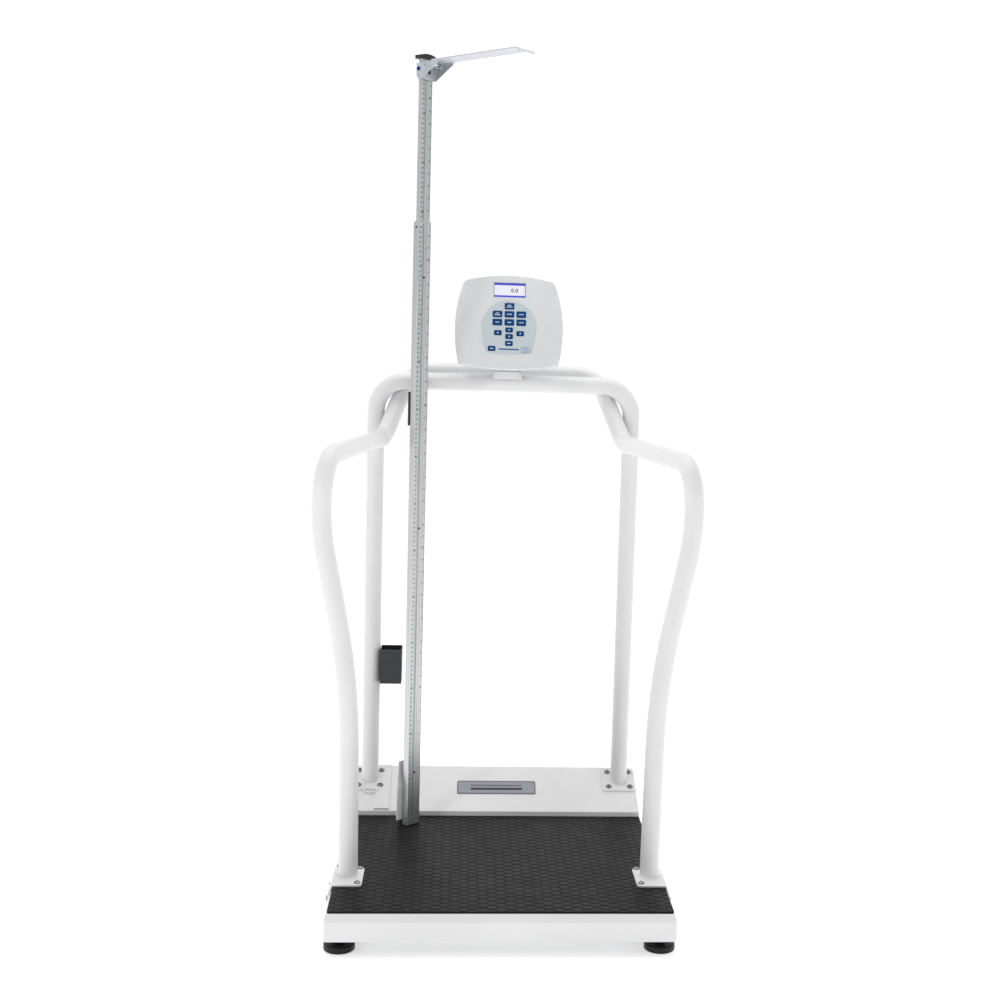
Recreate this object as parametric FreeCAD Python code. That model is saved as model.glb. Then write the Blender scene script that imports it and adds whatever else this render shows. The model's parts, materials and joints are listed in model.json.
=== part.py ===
import FreeCAD, Part
import math
import os
from FreeCAD import Placement, Rotation, Vector

# Digital platform scale with handrails, a display head and a telescoping height rod.
# Millimetres. +X right, +Y to the rear, +Z up. Every piece is modelled about the centre of the
# platform on the floor, then moved so that the origin is the centre of the whole footprint.

# Platform
BASE_W = 660.0
BASE_D = 694.0
SKIRT_BOTTOM = 44.0
BEVEL_BOTTOM = 81.0
BEVEL_IN = 6.5
COVER_TOP = 96.0
COVER_T = 2.5
MAT_T = 4.0
MAT_TOP = COVER_TOP + MAT_T
MAT_REAR = 210.0
EDGE_X = BASE_W / 2 - BEVEL_IN
EDGE_Y = BASE_D / 2 - BEVEL_IN

# Sloping rear deck
DECK_LIP = 110.0
DECK_SLOPE = 25.3
DECK_REAR = 346.0
DECK_T = 2.0
BADGE_W = 178.0
BADGE_H = 42.0
BADGE_Y = 279.0

# Feet
FOOT_X = 302.0
FOOT_Y = 305.0
FOOT_R = 29.5
FOOT_H = 14.0
FLOOR_Z = 14.0
STUD_R = 6.0
STUD_TOP = 58.0

# Tube frame
TUBE_R = 19.05
TUBE_WALL = 2.0
POST_X = 284.5
POST_Y = 303.0
BAR_Z = 1061.5
BAR_BEND = 67.5
RAIL_Y = 372.0
RAIL_Z = 1083.5
LEG_FOOT = Vector(298.0, -161.0, 0)
BRACKET_T = 3.0
BRACKET_IN = 268.0
BRACKET_FRONT = -57.0
BRACKET_REAR = 40.0

# Screws
SCREW_HEAD_R = 7.2
SCREW_R = 3.9
FLANGE_SIZE = 74.0
FLANGE_T = 4.0
FLANGE_PITCH = 49.0

# Height rod, in its own frame: x across the scale face, y to the back, turned about +Z
ROD_AT = Vector(-180.5, 145.5, 0)
ROD_TURN = 45.0
ROD_W = 36.0
ROD_T = 16.0
ROD_WALL = 1.6
ROD_BOTTOM = 102.0
ROD_TOP = 1397.0
CLAMP_LOW = 971.0
INNER_W = 31.0
INNER_T = 9.5
INNER_FRONT = 1.8
INNER_BOTTOM = 805.0
INNER_TOP = 1727.0
SLIDE_GAP = 0.25

# Headpiece, in the rod's frame
HEAD_W = 44.0
WEB_BOTTOM = 1685.0
GUSSET_TOP = 1717.0
SHEET_T = 1.5
GUSSET_REACH = 50.0
BLADE_REACH = 278.0
HINGE_R = 2.0

# Display head, in its own frame: x across, y to the back, z up the face
DISPLAY_AT = Vector(3.5, 250.0, 1197.0)
DISPLAY_TILT = 20.0
FRONT_D = 24.0
REAR_D = 38.0
SHELL_T = 2.5
LCD = (-34.5, 35.5, 57.0, 91.5)
CREASE_SIDE = -72.0
CREASE_MIDDLE = -84.0
CHIN_FALL = Vector(0, 12.0, -20.0)
PIVOT = Vector(0, 74.0, -30.0)
KEY_GAP = 0.25
KEY_PROUD = 0.6
OVERLAY_T = 0.8

# The rear of the handrail reaches further out than the front of the platform. Heights above are
# taken from a datum FLOOR_Z under the floor that the feet stand on.
FOOTPRINT_Y = 24.0

PARTS = "parts"


# ---------------------------------------------------------------- helpers

def save(name, *solids):
    """Write one node: a single solid, or a compound of separate ones."""
    shape = solids[0] if len(solids) == 1 else Part.makeCompound(list(solids))
    shape = moved(shape, Vector(0, -FOOTPRINT_Y, -FLOOR_Z))
    shape.exportStep(os.path.join(PARTS, name + ".step"))


def box(x0, x1, y0, y1, z0, z1):
    return Part.makeBox(x1 - x0, y1 - y0, z1 - z0, Vector(x0, y0, z0))


def cylinder(radius, start, end):
    axis = end - start
    return Part.makeCylinder(radius, axis.Length, start, axis)


def prism(points, sweep):
    """Extrude a closed polygon."""
    loop = Part.makePolygon(list(points) + [points[0]])
    return Part.Face(loop).extrude(sweep)


def rounded_box(width, depth, height, radius):
    """A box with rounded upright edges, centred on the z axis, standing on z = 0."""
    block = box(-width / 2, width / 2, -depth / 2, depth / 2, 0, height)
    return block.makeFillet(radius, upright_edges(block))


def upright_edges(shape, direction=Vector(0, 0, 1)):
    found = []
    for edge in shape.Edges:
        if isinstance(edge.Curve, Part.Line) and abs(abs(edge.Curve.Direction.dot(direction)) - 1) < 1e-6:
            found.append(edge)
    return found


def moved(shape, at, axis=Vector(0, 0, 1), angle=0.0):
    copy = shape.copy()
    copy.Placement = Placement(at, Rotation(axis, angle)).multiply(copy.Placement)
    return copy


def mirrored(shape):
    return shape.mirror(Vector(0, 0, 0), Vector(1, 0, 0))


def joined(*shapes):
    """One solid from pieces that overlap or share faces."""
    first, rest = shapes[0], list(shapes[1:])
    return first.multiFuse(rest).removeSplitter()


def bent_path(points, radii):
    """Straight runs joined by tangent arcs, one radius for each inner point."""
    edges = []
    start = points[0]
    for i, radius in enumerate(radii):
        corner = points[i + 1]
        back = (points[i] - corner).normalize()
        ahead = (points[i + 2] - corner).normalize()
        half_turn = (math.pi - back.getAngle(ahead)) / 2
        reach = radius * math.tan(half_turn)
        first = corner + back * reach
        last = corner + ahead * reach
        bisector = (back + ahead).normalize()
        middle = corner + bisector * (radius / math.cos(half_turn) - radius)
        edges.append(Part.LineSegment(start, first).toShape())
        edges.append(Part.Arc(first, middle, last).toShape())
        start = last
    edges.append(Part.LineSegment(start, points[-1]).toShape())
    return Part.Wire(edges)


def swept_rod(path, radius):
    first = path.Edges[0]
    start = first.valueAt(first.FirstParameter)
    along = first.tangentAt(first.FirstParameter)
    circle = Part.Wire([Part.Circle(start, along, radius).toShape()])
    return path.makePipeShell([circle], True, False)


def swept_tube(path, radius, wall):
    return swept_rod(path, radius).cut(swept_rod(path, radius - wall))


def dome_screw(length):
    """A dome-head screw along z, head up, its seat at z = 0, with a hexagon socket."""
    dome_height = 4.2
    sphere_r = (SCREW_HEAD_R ** 2 + dome_height ** 2) / (2 * dome_height)
    ball = Part.makeSphere(sphere_r, Vector(0, 0, dome_height - sphere_r))
    head = ball.common(Part.makeCylinder(SCREW_HEAD_R, dome_height))
    shank = Part.makeCylinder(SCREW_R, length, Vector(0, 0, -length))
    socket = hexagon(2.3, 2.4)
    socket.translate(Vector(0, 0, dome_height - 2.0))
    return joined(head, shank).cut(socket)


def hexagon(flat_r, height):
    corner_r = flat_r / math.cos(math.pi / 6)
    points = []
    for k in range(6):
        angle = k * math.pi / 3
        points.append(Vector(corner_r * math.cos(angle), corner_r * math.sin(angle), 0))
    return prism(points, Vector(0, 0, height))


def four(x, y):
    return [Vector(sx * x, sy * y, 0) for sx in (-1, 1) for sy in (-1, 1)]


# ---------------------------------------------------------------- platform

def deck_height(y):
    return DECK_LIP + (y - MAT_REAR) * math.tan(math.radians(DECK_SLOPE))


def on_deck(shape, x, y, lift=0.0):
    """Place a shape modelled on z = 0 on the sloping deck, its +y up the slope."""
    slope = math.radians(DECK_SLOPE)
    normal = Vector(0, -math.sin(slope), math.cos(slope))
    return moved(shape, Vector(x, y, deck_height(y)) + normal * lift, Vector(1, 0, 0), DECK_SLOPE)


def pan(inset):
    """The cover's outer form, or its hollow when inset by the sheet's thickness."""
    half = BASE_W / 2 - inset
    front = -BASE_D / 2 + inset
    rear = BASE_D / 2 - inset
    low = SKIRT_BOTTOM - (inset > 0)
    top = COVER_TOP - inset
    body = box(-half, half, front, rear, low, top)
    body = body.makeFillet(8.0 - inset, upright_edges(body))
    rise = COVER_TOP - BEVEL_BOTTOM
    for side in (-1, 1):
        bevel = prism([Vector(side * (half + 1), front - 1, BEVEL_BOTTOM - rise / BEVEL_IN),
                       Vector(side * (half - BEVEL_IN), front - 1, top),
                       Vector(side * (half - BEVEL_IN), front - 1, top + 1),
                       Vector(side * (half + 1), front - 1, top + 1)], Vector(0, BASE_D + 2, 0))
        body = body.cut(bevel)
    front_bevel = prism([Vector(-half - 1, front - 1, BEVEL_BOTTOM - rise / BEVEL_IN),
                         Vector(-half - 1, front + BEVEL_IN, top),
                         Vector(-half - 1, front + BEVEL_IN, top + 1),
                         Vector(-half - 1, front - 1, top + 1)], Vector(2 * half + 2, 0, 0))
    return body.cut(front_bevel)


def bracket_screw_points():
    return [Vector(277.0, LEG_FOOT.y + dy, 0) for dy in (-43.0, 37.0)]


def platform_cover():
    cover = pan(0).cut(pan(COVER_T))
    for point in bracket_screw_points():
        for side in (-1, 1):
            at = Vector(side * point.x, point.y, 0)
            cover = cover.cut(cylinder(SCREW_R + 0.2, at + Vector(0, 0, 80), at + Vector(0, 0, 110)))
    for y in side_screw_places():
        cover = cover.cut(cylinder(SCREW_R + 0.2, Vector(-BASE_W, y, 72), Vector(BASE_W, y, 72)))
    return cover


def rubber_mat():
    front = -EDGE_Y
    mat = box(-EDGE_X, EDGE_X, front, MAT_REAR - 0.3, COVER_TOP, MAT_TOP)
    corners = [edge for edge in upright_edges(mat) if edge.Vertexes[0].Point.y < 0]
    mat = mat.makeFillet(6.0, corners)
    for point in bracket_screw_points():
        for side in (-1, 1):
            at = Vector(side * point.x, point.y, 0)
            mat = mat.cut(cylinder(SCREW_R + 0.2, at + Vector(0, 0, 90), at + Vector(0, 0, 110)))
    return mat


def wedge(inset):
    """The deck's outer form, or its hollow when inset by the sheet's thickness."""
    front = MAT_REAR + inset
    rear = DECK_REAR - inset
    floor = COVER_TOP - (inset > 0)
    drop = inset / math.cos(math.radians(DECK_SLOPE))
    half = EDGE_X - inset
    body = prism([Vector(-half, front, floor),
                  Vector(-half, front, deck_height(front) - drop),
                  Vector(-half, rear, deck_height(rear) - drop),
                  Vector(-half, rear, floor)], Vector(2 * half, 0, 0))
    rear_edges = [e for e in upright_edges(body) if e.Vertexes[0].Point.y > front + 1]
    return body.makeFillet(12.0 - inset, rear_edges)


def flange_points():
    return [Vector(side * POST_X, POST_Y, 0) for side in (-1, 1)]


def rear_deck():
    body = wedge(0)
    top_edges = []
    for edge in body.Edges:
        heights = [v.Point.z for v in edge.Vertexes]
        if min(heights) > DECK_LIP - 1 and not (abs(edge.Vertexes[0].Point.z - edge.Vertexes[-1].Point.z) < 0.01
                                               and abs(edge.Vertexes[0].Point.x - edge.Vertexes[-1].Point.x) < 1):
            top_edges.append(edge)
    body = body.makeFillet(2.5, top_edges)
    deck = body.cut(wedge(DECK_T))
    drill = cylinder(SCREW_R + 0.2, Vector(0, 0, -12), Vector(0, 0, 12))
    for post in flange_points():
        for hole in four(FLANGE_PITCH / 2, FLANGE_PITCH / 2):
            deck = deck.cut(on_deck(moved(drill, hole), post.x, post.y))
    return deck


def badge_plate():
    plate = rounded_box(BADGE_W, BADGE_H, 1.2, 4.0)
    return on_deck(plate, 3.0, BADGE_Y)


def platform_frame():
    """Welded rectangular tube: two side rails, two end rails and two cross rails."""
    top = COVER_TOP - COVER_T
    low = top - 30.0
    side_x, end_y, half = 292.0, 305.0, 17.5
    wall = 2.0

    def rails(inset, run_out):
        """The rails' solid forms, or their bores when inset by the tube's wall."""
        wide = half - inset
        ends = end_y + half + run_out
        forms = [box(s * side_x - wide, s * side_x + wide, -ends, ends, low + inset, top - inset) for s in (-1, 1)]
        for y in (-end_y, -100.0, 100.0, end_y):
            forms.append(box(-side_x, side_x, y - wide, y + wide, low + inset, top - inset))
        return joined(*forms)

    frame = rails(0.0, 0.0).cut(rails(wall, 1.0))
    for corner in four(FOOT_X, FOOT_Y):
        frame = frame.cut(cylinder(STUD_R + 1.5, corner + Vector(0, 0, 0), corner + Vector(0, 0, top - 3)))
    for point in bracket_screw_points():
        for side in (-1, 1):
            at = Vector(side * point.x, point.y, 0)
            frame = frame.cut(cylinder(SCREW_R + 0.2, at + Vector(0, 0, 76), at + Vector(0, 0, 100)))
    return frame


def load_cells():
    """Four bending-beam cells, each with its strain-gauge window and the foot's threaded hole."""
    top = COVER_TOP - COVER_T - 30.0
    cells = []
    for corner in four(FOOT_X, FOOT_Y):
        inward = -math.copysign(1, corner.x)
        beam = rounded_box(120.0, 26.0, 15.0, 2.0)
        beam.translate(Vector(corner.x + inward * 46.0, corner.y, top - 15.0))
        middle = Vector(corner.x + inward * 46.0, corner.y - 20, top - 7.5)
        for dx in (-8.0, 8.0):
            start = middle + Vector(dx, 0, 0)
            beam = beam.cut(cylinder(5.5, start, start + Vector(0, 40, 0)))
        beam = beam.cut(cylinder(STUD_R + 0.05, corner + Vector(0, 0, 30), corner + Vector(0, 0, 80)))
        cells.append(beam)
    return cells


def levelling_foot():
    """The pad: a dome-shouldered disc with a hexagon collar round the stud."""
    pad = Part.makeCylinder(FOOT_R, FOOT_H)
    rims = [e for e in pad.Edges if isinstance(e.Curve, Part.Circle)]
    lower = [e for e in rims if e.Vertexes[0].Point.z < 1]
    upper = [e for e in rims if e.Vertexes[0].Point.z > 1]
    pad = pad.makeFillet(3.0, lower)
    upper = [e for e in pad.Edges if isinstance(e.Curve, Part.Circle) and e.Vertexes[0].Point.z > FOOT_H - 0.1]
    pad = pad.makeFillet(4.0, upper)
    collar = hexagon(9.5, 7.0)
    collar.translate(Vector(0, 0, FOOT_H - 0.5))
    foot = joined(pad, collar).cut(cylinder(STUD_R, Vector(0, 0, 5), Vector(0, 0, FOOT_H + 20)))
    return moved(foot, Vector(0, 0, FLOOR_Z))


def foot_stud():
    stud = cylinder(STUD_R, Vector(0, 0, FLOOR_Z + 5), Vector(0, 0, STUD_TOP))
    top = [e for e in stud.Edges if isinstance(e.Curve, Part.Circle) and e.Vertexes[0].Point.z > STUD_TOP - 0.1]
    return stud.makeChamfer(1.2, top)


def foot_locknuts():
    top = COVER_TOP - COVER_T - 30.0 - 15.0
    nuts = []
    for corner in four(FOOT_X, FOOT_Y):
        nut = hexagon(9.5, 7.0).cut(cylinder(STUD_R + 0.1, Vector(0, 0, -1), Vector(0, 0, 8)))
        nuts.append(moved(nut, corner + Vector(0, 0, top - 7.0)))
    return nuts


# ---------------------------------------------------------------- tube frame and handrail

def flange_top_cutter(x):
    """Everything below the top face of a rear flange."""
    half = 200.0
    block = box(-60, 60, -half, half, -400, FLANGE_T)
    return on_deck(block, x, POST_Y)


def rear_frame_tube():
    bottom = COVER_TOP + 20.0
    path = bent_path([Vector(-POST_X, POST_Y, bottom),
                      Vector(-POST_X, POST_Y, BAR_Z),
                      Vector(POST_X, POST_Y, BAR_Z),
                      Vector(POST_X, POST_Y, bottom)], [BAR_BEND, BAR_BEND])
    tube = swept_tube(path, TUBE_R, TUBE_WALL)
    for side in (-1, 1):
        tube = tube.cut(flange_top_cutter(side * POST_X))
    return tube


def rear_flange(x):
    """Square base plate of a post. The left one runs on down to the deck's lip, beside the rod."""
    plate = rounded_box(FLANGE_SIZE, FLANGE_SIZE, FLANGE_T, 5.0)
    if x < 0:
        to_lip = (MAT_REAR + 3.0 - POST_Y) / math.cos(math.radians(DECK_SLOPE))
        plate = joined(plate, box(14.5, 46.5, to_lip, FLANGE_SIZE / 2 + 6.0, 0, FLANGE_T))
    for hole in four(FLANGE_PITCH / 2, FLANGE_PITCH / 2):
        plate = plate.cut(cylinder(SCREW_R + 0.2, hole - Vector(0, 0, 1), hole + Vector(0, 0, 9)))
    return on_deck(plate, x, POST_Y)


def flange_screws():
    screws = []
    for post in flange_points():
        for hole in four(FLANGE_PITCH / 2, FLANGE_PITCH / 2):
            screws.append(on_deck(moved(dome_screw(14.0), hole), post.x, post.y, FLANGE_T))
    return screws


def rail_side():
    """The right half of the handrail's line, from the top bar down to the platform."""
    return [Vector(210.5, RAIL_Y, RAIL_Z),
            Vector(264.0, 254.0, 937.0),
            Vector(350.0, -185.0, 929.0),
            Vector(360.0, -180.0, 801.0),
            Vector(300.0, -168.0, 489.0),
            Vector(LEG_FOOT.x, LEG_FOOT.y, MAT_TOP)]


def handrail_tube():
    right = rail_side()
    left = [Vector(-p.x, p.y, p.z) for p in reversed(right)]
    side_radii = [65.0, 53.0, 60.0, 450.0, 1350.0]
    path = bent_path(left + right, side_radii[::-1] + side_radii)
    below = box(-BASE_W, BASE_W, -BASE_D, BASE_D, 0, MAT_TOP + BRACKET_T)
    return swept_tube(path, TUBE_R, TUBE_WALL).cut(below)


def side_screw_places():
    return [LEG_FOOT.y + dy for dy in (-43.0, 30.0)]


def front_bracket():
    """Top plate on the mat's edge, folded over the bevel and down the skirt."""
    y0 = LEG_FOOT.y + BRACKET_FRONT
    y1 = LEG_FOOT.y + BRACKET_REAR
    gap = 0.3
    over = BASE_W / 2 + gap
    fold_z = MAT_TOP + BRACKET_T
    points = [Vector(BRACKET_IN, y0, MAT_TOP),
              Vector(EDGE_X + 0.6, y0, MAT_TOP),
              Vector(over, y0, BEVEL_BOTTOM + 0.4),
              Vector(over, y0, 60.0),
              Vector(over + BRACKET_T, y0, 60.0),
              Vector(over + BRACKET_T, y0, BEVEL_BOTTOM + 1.2),
              Vector(EDGE_X + 2.6, y0, fold_z),
              Vector(BRACKET_IN, y0, fold_z)]
    plate = prism(points, Vector(0, y1 - y0, 0))
    inner = [e for e in upright_edges(plate) if e.Vertexes[0].Point.x < BRACKET_IN + 1]
    plate = plate.makeFillet(9.0, inner)
    for point in bracket_screw_points():
        plate = plate.cut(cylinder(SCREW_R + 0.2, point + Vector(0, 0, 90), point + Vector(0, 0, 110)))
    for y in side_screw_places():
        plate = plate.cut(cylinder(SCREW_R + 0.2, Vector(300, y, 72), Vector(400, y, 72)))
    return plate


def bracket_screws():
    screws = []
    for point in bracket_screw_points():
        screws.append(moved(dome_screw(20.0), point + Vector(0, 0, MAT_TOP + BRACKET_T)))
    for y in side_screw_places():
        at = Vector(BASE_W / 2 + 0.3 + BRACKET_T, y, 72)
        screws.append(moved(dome_screw(9.0), at, Vector(0, 1, 0), 90.0))
    return screws + [mirrored(s) for s in screws]


# ---------------------------------------------------------------- height rod

def on_rod(shape):
    return moved(shape, ROD_AT, Vector(0, 0, 1), ROD_TURN)


def scale_face(width, front, z0, z1):
    """The two shallow channels for the printed strips, left as cutters."""
    depth = 0.6
    half_ridge = 2.0
    edge = width / 2 - 2.2
    return [box(-edge, -half_ridge, front - 1, front + depth, z0, z1),
            box(half_ridge, edge, front - 1, front + depth, z0, z1)]


def rod_outer():
    half = ROD_W / 2
    body = box(-half, half, 0, ROD_T, ROD_BOTTOM, ROD_TOP)
    body = body.makeFillet(1.2, upright_edges(body))
    chamber_x = INNER_W / 2 + SLIDE_GAP
    chamber_back = INNER_FRONT + INNER_T + SLIDE_GAP
    chamber = box(-chamber_x, chamber_x, INNER_FRONT - SLIDE_GAP, chamber_back, ROD_BOTTOM - 1, ROD_TOP + 1)
    back_room = box(-half + 2.5, half - 2.5, chamber_back + 1.4, ROD_T - 1.4, ROD_BOTTOM - 1, ROD_TOP + 1)
    body = body.cut(chamber).cut(back_room)
    for channel in scale_face(ROD_W, 0, ROD_BOTTOM - 1, ROD_TOP + 1):
        body = body.cut(channel)
    return on_rod(body)


def rod_inner():
    half = INNER_W / 2
    back = INNER_FRONT + INNER_T
    body = box(-half, half, INNER_FRONT, back, INNER_BOTTOM, INNER_TOP)
    body = body.makeFillet(0.8, upright_edges(body))
    body = body.cut(box(-half + 1.6, half - 1.6, INNER_FRONT + 1.8, back - 1.6, INNER_BOTTOM - 1, INNER_TOP + 1))
    for channel in scale_face(INNER_W, INNER_FRONT, INNER_BOTTOM - 1, INNER_TOP + 1):
        body = body.cut(channel)
    return on_rod(body)


def rod_slide_shoe():
    """Friction shoe plugged into the inner section's foot."""
    half = INNER_W / 2
    back = INNER_FRONT + INNER_T
    plug = box(-half + 1.8, half - 1.8, INNER_FRONT + 2.0, back - 1.8, INNER_BOTTOM - 4, INNER_BOTTOM + 30)
    skirt = box(-half, half, INNER_FRONT, back, INNER_BOTTOM - 14, INNER_BOTTOM - 0.2)
    return on_rod(joined(plug, skirt.makeFillet(0.8, upright_edges(skirt))))


def rod_foot_plug():
    """Plastic plug that closes the outer section's foot, with its small nib."""
    chamber_x = INNER_W / 2
    plug = box(-chamber_x, chamber_x, INNER_FRONT, INNER_FRONT + INNER_T, ROD_BOTTOM + 2, ROD_BOTTOM + 22)
    nib = cylinder(3.0, Vector(0, 8, ROD_BOTTOM - 1.5), Vector(0, 8, ROD_BOTTOM + 3))
    return on_rod(joined(plug, nib))


def rod_end_cap():
    """Peaked cap over the inner section's top."""
    z0 = INNER_TOP
    outline = [Vector(-HEAD_W / 2, -1.5, z0), Vector(HEAD_W / 2, -1.5, z0), Vector(HEAD_W / 2, 17.5, z0),
               Vector(-HEAD_W / 2, 17.5, z0)]
    body = prism(outline, Vector(0, 0, 10.5))
    body = body.makeFillet(2.5, upright_edges(body))
    for side in (-1, 1):
        slope = prism([Vector(side * 6, -5, z0 + 10.6), Vector(side * 30, -5, z0 + 5.0),
                       Vector(side * 30, -5, z0 + 20), Vector(side * 6, -5, z0 + 20)], Vector(0, 30, 0))
        body = body.cut(slope)
    half = INNER_W / 2
    plug = box(-half + 1.8, half - 1.8, INNER_FRONT + 2.2, INNER_FRONT + INNER_T - 1.8, z0 - 14, z0 + 1)
    return on_rod(joined(body, plug))


def rod_screw_heights():
    return [ROD_BOTTOM + 116.0, ROD_BOTTOM + 650.0, ROD_BOTTOM + 1180.0]


def rod_screws():
    """Flat black screws in the ridge of the outer section, and the one in its top corner."""
    screws = []
    for z in rod_screw_heights():
        screws.append(on_rod(cylinder(2.4, Vector(0, -0.4, z), Vector(0, 1.2, z))))
    screws.append(on_rod(cylinder(2.0, Vector(-ROD_W / 2 - 1.0, 7, ROD_TOP - 12), Vector(-ROD_W / 2 + 1.6, 7, ROD_TOP - 12))))
    return screws


def rod_outer_drilled():
    rod = rod_outer()
    for screw in rod_screws():
        rod = rod.cut(screw)
    return rod


def headpiece_bracket():
    """Folded sheet: a web in front of the rod, cheeks round its sides, gussets that carry the blade."""
    half = HEAD_W / 2
    web_y = -SHEET_T - 0.4
    back = ROD_T * 0.72
    web = box(-half, half, web_y, web_y + SHEET_T, WEB_BOTTOM, GUSSET_TOP)
    window = box(-6, 6, web_y - 2, web_y + 5, WEB_BOTTOM + 12, WEB_BOTTOM + 24)
    web = web.cut(window)
    pieces = [web]
    for side in (-1, 1):
        x0 = side * half - (SHEET_T if side > 0 else 0)
        outline = [Vector(x0, back, WEB_BOTTOM + 8),
                   Vector(x0, back - 6, WEB_BOTTOM),
                   Vector(x0, web_y, WEB_BOTTOM),
                   Vector(x0, web_y - GUSSET_REACH, GUSSET_TOP - 3),
                   Vector(x0, web_y - GUSSET_REACH, GUSSET_TOP),
                   Vector(x0, back, GUSSET_TOP)]
        pieces.append(prism(outline, Vector(SHEET_T, 0, 0)))
    body = joined(*pieces)
    body = body.cut(cylinder(2.6, Vector(-half - 5, 5.0, PIN_Z), Vector(half + 5, 5.0, PIN_Z)))
    body = body.cut(cylinder(HINGE_R + 0.05, hinge_point() - Vector(60, 0, 0), hinge_point() + Vector(60, 0, 0)))
    return on_rod(body)


PIN_Z = WEB_BOTTOM + 21.0


def hinge_point():
    """A point on the blade's hinge line, in the rod's frame."""
    return Vector(0, -12.0, GUSSET_TOP - 5.0)


def headpiece_screws():
    """Two pan-head screws that hold the bracket's cheeks to the rod."""
    half = HEAD_W / 2
    screws = []
    for side in (-1, 1):
        head = cylinder(4.2, Vector(side * half, 5, PIN_Z), Vector(side * (half + 2.4), 5, PIN_Z))
        rim = [e for e in head.Edges if isinstance(e.Curve, Part.Circle) and abs(e.Vertexes[0].Point.x) > half + 1]
        head = head.makeFillet(1.6, rim)
        shank = cylinder(2.5, Vector(side * (INNER_W / 2 + 0.3), 5, PIN_Z), Vector(side * half, 5, PIN_Z))
        screws.append(on_rod(joined(head, shank)))
    return screws


def headpiece_pin():
    half = HEAD_W / 2 + 1.2
    point = hinge_point()
    return on_rod(cylinder(HINGE_R, point - Vector(half, 0, 0), point + Vector(half, 0, 0)))


def headpiece_holder():
    """Plate on the gussets' top edges, with two ears that turn on the hinge pin."""
    half = HEAD_W / 2
    top = GUSSET_TOP + 0.3
    web_y = -SHEET_T - 0.4
    point = hinge_point()
    inner = half - SHEET_T - 0.4
    plate = box(-half, half, web_y - GUSSET_REACH - 4, point.y - 9.0, top, top + SHEET_T)
    neck = box(-inner, inner, point.y - 10.0, point.y + 1.0, top, top + SHEET_T)
    pieces = [plate, neck]
    for side in (-1, 1):
        x0 = side * inner - (SHEET_T if side > 0 else 0)
        ear = prism([Vector(x0, point.y + 1, top + 0.5), Vector(x0, point.y - 10, top + 0.5),
                     Vector(x0, point.y - 4, point.z - 4), Vector(x0, point.y + 4, point.z - 4)],
                    Vector(SHEET_T, 0, 0))
        pieces.append(ear)
    body = joined(*pieces)
    return on_rod(body.cut(cylinder(HINGE_R + 0.05, point - Vector(40, 0, 0), point + Vector(40, 0, 0))))


def blade_rivet_places():
    return [Vector(x, -SHEET_T - 0.4 - GUSSET_REACH + 10, 0) for x in (-11.0, 11.0)]


def headpiece_blade():
    """Long plastic blade with its far end curled down."""
    half = HEAD_W / 2
    thick = 2.4
    z0 = GUSSET_TOP + 0.3 + SHEET_T
    start = -SHEET_T - 0.4 - GUSSET_REACH + 20
    curl_r = 18.0
    curl_start = -BLADE_REACH + curl_r * math.sin(math.radians(55))
    outer = curl_r
    inner = curl_r - thick
    centre_z = z0 + thick - curl_r
    end = math.radians(55)
    mid = end / 2

    def on_arc(radius, angle):
        return Vector(-half, curl_start - radius * math.sin(angle), centre_z + radius * math.cos(angle))

    edges = [Part.LineSegment(Vector(-half, start, z0), Vector(-half, start, z0 + thick)).toShape(),
             Part.LineSegment(Vector(-half, start, z0 + thick), on_arc(outer, 0)).toShape(),
             Part.Arc(on_arc(outer, 0), on_arc(outer, mid), on_arc(outer, end)).toShape(),
             Part.LineSegment(on_arc(outer, end), on_arc(inner, end)).toShape(),
             Part.Arc(on_arc(inner, end), on_arc(inner, mid), on_arc(inner, 0)).toShape(),
             Part.LineSegment(on_arc(inner, 0), Vector(-half, start, z0)).toShape()]
    blade = Part.Face(Part.Wire(edges)).extrude(Vector(HEAD_W, 0, 0))
    for point in blade_rivet_places():
        blade = blade.cut(cylinder(2.2, point + Vector(0, 0, z0 - 5), point + Vector(0, 0, z0 + 5)))
    return on_rod(blade)


def blade_rivets():
    z0 = GUSSET_TOP + 0.3 + SHEET_T
    rivets = []
    for point in blade_rivet_places():
        shank = cylinder(2.0, point + Vector(0, 0, z0), point + Vector(0, 0, z0 + 2.4))
        head = cylinder(4.0, point + Vector(0, 0, z0 + 2.4), point + Vector(0, 0, z0 + 3.8))
        rivets.append(on_rod(joined(shank, head)))
    return rivets


def rod_foot_bracket():
    """Folded plate: a tab on the deck, a shelf over the mat's rear, and an upright behind the rod."""
    t = 3.0
    back = ROD_T + 0.4
    left, right = -33.0, 20.0
    fold_z, top_z = 186.0, 240.0
    shelf_z = DECK_LIP + 3.6
    tab_x, tab_half = -195.0, 19.0
    tab = on_deck(box(-tab_half, tab_half, 5.0, 55.0, 0.3, 0.3 + t), tab_x, MAT_REAR)
    shelf = prism([rod_point(left + 2, back, shelf_z), rod_point(right, back, shelf_z),
                   Vector(tab_x + tab_half, MAT_REAR + 6.5, shelf_z),
                   Vector(tab_x - tab_half, MAT_REAR + 6.5, shelf_z)], Vector(0, 0, t))
    thick = rod_point(0, t, 0) - rod_point(0, 0, 0)
    upright = prism([rod_point(left, back, shelf_z), rod_point(right, back, shelf_z),
                     rod_point(right, back, fold_z), rod_point(left, back, fold_z)], thick)
    lean = 10.0
    peak = prism([rod_point(left, back, fold_z), rod_point(right, back, fold_z),
                  rod_point(right - 13, back + lean, top_z), rod_point(left + 13, back + lean, top_z)], thick)
    return joined(tab, shelf, upright, peak)


def rod_point(x, y, z):
    """A point given in the rod's frame."""
    return Rotation(Vector(0, 0, 1), ROD_TURN).multVec(Vector(x, y, z)) + ROD_AT


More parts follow.
